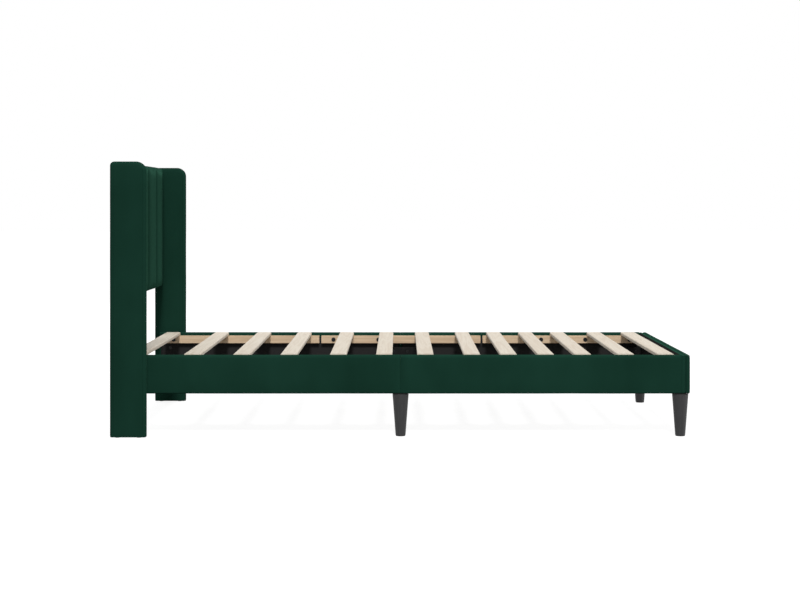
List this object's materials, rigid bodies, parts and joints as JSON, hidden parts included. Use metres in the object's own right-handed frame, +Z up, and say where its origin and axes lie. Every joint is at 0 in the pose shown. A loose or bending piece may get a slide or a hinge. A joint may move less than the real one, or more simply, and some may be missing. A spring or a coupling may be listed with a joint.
{
  "type": "upholstered bed frame",
  "caption": "Velvet upholstered single bed frame: winged headboard with upright sewn channels, padded rails, loose wooden slats on ledgers and round tapered legs.",
  "frame": {"origin": "on the floor, under the middle of the bed", "axes": "+X along the bed from the headboard to the foot, +Y to the left of someone lying on their back in it, +Z up"},
  "size_m": [2.02, 1.06, 0.96],
  "materials": {
    "velvet": "dark green velvet with a short soft pile",
    "lining": "matt black non-woven cloth",
    "frame_board": "plain sawn board, covered",
    "slat_wood": "pale planed softwood",
    "ledger_wood": "light tan planed wood",
    "block_black": "black painted wood",
    "leg_plastic": "satin dark grey",
    "pad_plastic": "matt black",
    "black_steel": "black oxide",
    "bright_steel": "zinc plated"
  },
  "bodies": {
    "root": {"block_bolts": "black_steel", "corner_block_left": "block_black", "corner_block_right": "block_black", "foot_rail_core": "frame_board", "foot_rail_cover": "velvet", "foot_rail_lining": "lining", "headboard_back_cloth": "lining", "headboard_board": "frame_board", "headboard_bottom_bar": "frame_board", "headboard_cushion": "velvet", "headboard_stiles": "frame_board", "headboard_top_bar": "frame_board", "joint_block_left": "block_black", "joint_block_right": "block_black", "ledger_bolts": "black_steel", "ledger_foot_left": "ledger_wood", "ledger_foot_right": "ledger_wood", "ledger_head_left": "ledger_wood", "ledger_head_right": "ledger_wood", "ledger_middle_left": "ledger_wood", "ledger_middle_right": "ledger_wood", "leg_foot_left": "leg_plastic", "leg_foot_right": "leg_plastic", "leg_middle_left": "leg_plastic", "leg_middle_right": "leg_plastic", "leg_pads": "pad_plastic", "leg_plates": "black_steel", "plate_screws": "bright_steel", "rail_core_foot_left": "frame_board", "rail_core_foot_right": "frame_board", "rail_core_head_left": "frame_board", "rail_core_head_right": "frame_board", "rail_cover_foot_left": "velvet", "rail_cover_foot_right": "velvet", "rail_cover_head_left": "velvet", "rail_cover_head_right": "velvet", "rail_lining_foot_left": "lining", "rail_lining_foot_right": "lining", "rail_lining_head_left": "lining", "rail_lining_head_right": "lining", "slat_01": "slat_wood", "slat_02": "slat_wood", "slat_03": "slat_wood", "slat_04": "slat_wood", "slat_05": "slat_wood", "slat_06": "slat_wood", "slat_07": "slat_wood", "slat_08": "slat_wood", "slat_09": "slat_wood", "slat_10": "slat_wood", "slat_11": "slat_wood", "slat_12": "slat_wood", "slat_13": "slat_wood", "wing_bolts": "black_steel", "wing_core_left": "frame_board", "wing_core_right": "frame_board", "wing_cover_left": "velvet", "wing_cover_right": "velvet", "wing_glides": "pad_plastic"}
  },
  "joints": []
}
